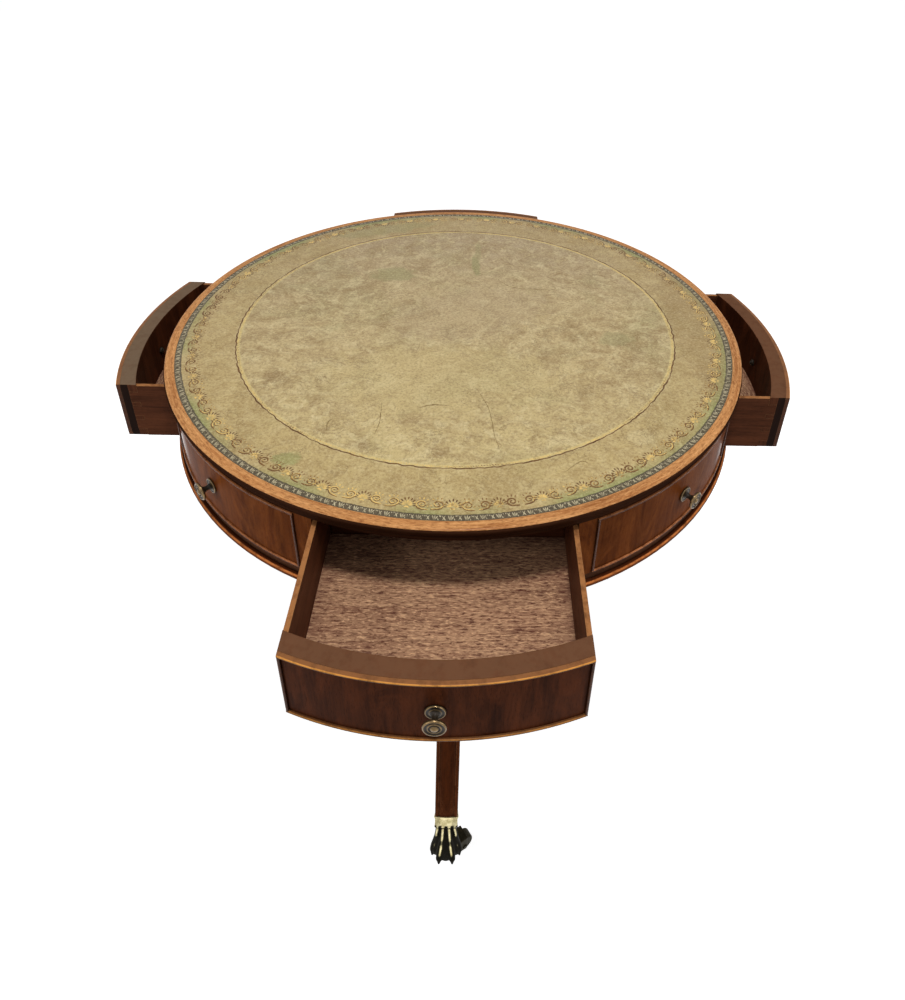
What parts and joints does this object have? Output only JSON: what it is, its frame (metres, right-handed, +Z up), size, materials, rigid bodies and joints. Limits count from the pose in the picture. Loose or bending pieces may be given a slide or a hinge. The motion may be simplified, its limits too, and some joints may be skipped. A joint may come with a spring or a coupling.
{
  "type": "drum table",
  "caption": "Round drum table: leather-inset top over a revolving drum with sliding drawers and sham fronts, on a turned column with splayed legs, brass paw caps and castors.",
  "frame": {"origin": "centre of the tabletop, on the leather's upper face", "axes": "+Z up, -Y the way the front drawer opens and the front leg points, +X to the right seen from there"},
  "size_m": [1.101, 1.19, 0.762],
  "materials": {
    "mahogany": "polished, dark red-brown",
    "crossband": "satin, cross-grained, warm orange-brown",
    "carcase_wood": "stained, matt",
    "drawer_lining": "thin satin",
    "drawer_bottom": "bare, coarse-grained",
    "leather": "mottled olive, worn, with gilt and blind tooled borders",
    "aged_brass": "dark, rubbed on the rims",
    "cast_brass": "bright, dark in the hollows",
    "dark_brass": "blackened",
    "iron": "dull"
  },
  "bodies": {
    "pedestal": {"column": "mahogany", "column_top_plate": "mahogany", "spindle": "iron", "spindle_nut": "iron", "base_plate": "iron", "base_plate_screws": "iron", "leg_front": "mahogany", "leg_right": "mahogany", "leg_left": "mahogany", "paw_cap_front": "cast_brass", "paw_cap_right": "cast_brass", "paw_cap_left": "cast_brass"},
    "castor_front": {"castor_fork_front": "dark_brass", "castor_axle_front": "iron"},
    "wheel_front": {"castor_wheel_front": "dark_brass"},
    "castor_right": {"castor_fork_right": "dark_brass", "castor_axle_right": "iron"},
    "wheel_right": {"castor_wheel_right": "dark_brass"},
    "castor_left": {"castor_fork_left": "dark_brass", "castor_axle_left": "iron"},
    "wheel_left": {"castor_wheel_left": "dark_brass"},
    "drum": {"leather_inset": "leather", "top_board": "carcase_wood", "top_edge_band": "crossband", "drum_top_deck": "mahogany", "drum_bottom_deck": "carcase_wood", "base_moulding": "mahogany", "frieze_panels": "mahogany", "sham_beads": "mahogany", "sham_knobs": "aged_brass", "drawer_partitions": "carcase_wood", "drawer_stops": "carcase_wood", "pivot_block": "carcase_wood", "pivot_block_screws": "iron"},
    "drawer_front": {"drawer_front_face": "mahogany", "drawer_front_bead": "mahogany", "drawer_front_sides": "drawer_lining", "drawer_front_back": "drawer_lining", "drawer_front_bottom": "drawer_bottom", "drawer_front_knob": "aged_brass"},
    "drawer_right": {"drawer_right_face": "mahogany", "drawer_right_bead": "mahogany", "drawer_right_sides": "drawer_lining", "drawer_right_back": "drawer_lining", "drawer_right_bottom": "drawer_bottom", "drawer_right_knob": "aged_brass"},
    "drawer_back": {"drawer_back_face": "mahogany", "drawer_back_bead": "mahogany", "drawer_back_sides": "drawer_lining", "drawer_back_back": "drawer_lining", "drawer_back_bottom": "drawer_bottom", "drawer_back_knob": "aged_brass"},
    "drawer_left": {"drawer_left_face": "mahogany", "drawer_left_bead": "mahogany", "drawer_left_sides": "drawer_lining", "drawer_left_back": "drawer_lining", "drawer_left_bottom": "drawer_bottom", "drawer_left_knob": "aged_brass"}
  },
  "joints": [
    {"name": "drum_turn", "type": "hinge", "parent": "pedestal", "child": "drum", "pos_m": [0, 0, -0.12], "axis": [0, 0, 1], "continuous": true},
    {"name": "drawer_front_slide", "type": "slide", "parent": "drum", "child": "drawer_front", "axis": [0, -1, 0], "range_m": [-0.178, 0.052]},
    {"name": "drawer_right_slide", "type": "slide", "parent": "drum", "child": "drawer_right", "axis": [1, 0, 0], "range_m": [-0.083, 0.147]},
    {"name": "drawer_back_slide", "type": "slide", "parent": "drum", "child": "drawer_back", "axis": [0, 1, 0], "range_m": [-0.074, 0.156]},
    {"name": "drawer_left_slide", "type": "slide", "parent": "drum", "child": "drawer_left", "axis": [-1, 0, 0], "range_m": [-0.08, 0.15]},
    {"name": "castor_front_swivel", "type": "hinge", "parent": "pedestal", "child": "castor_front", "pos_m": [0, -0.455, -0.715], "axis": [0, 0, 1], "continuous": true},
    {"name": "wheel_front_roll", "type": "hinge", "parent": "castor_front", "child": "wheel_front", "pos_m": [0.02346, -0.43795, -0.744], "axis": [-0.5878, 0.809, 0], "continuous": true},
    {"name": "castor_right_swivel", "type": "hinge", "parent": "pedestal", "child": "castor_right", "pos_m": [0.39404, 0.2275, -0.715], "axis": [0, 0, 1], "continuous": true},
    {"name": "wheel_right_roll", "type": "hinge", "parent": "castor_right", "child": "wheel_right", "pos_m": [0.4175, 0.24455, -0.744], "axis": [-0.5878, 0.809, 0], "continuous": true},
    {"name": "castor_left_swivel", "type": "hinge", "parent": "pedestal", "child": "castor_left", "pos_m": [-0.39404, 0.2275, -0.715], "axis": [0, 0, 1], "continuous": true},
    {"name": "wheel_left_roll", "type": "hinge", "parent": "castor_left", "child": "wheel_left", "pos_m": [-0.37058, 0.24455, -0.744], "axis": [-0.5878, 0.809, 0], "continuous": true}
  ]
}
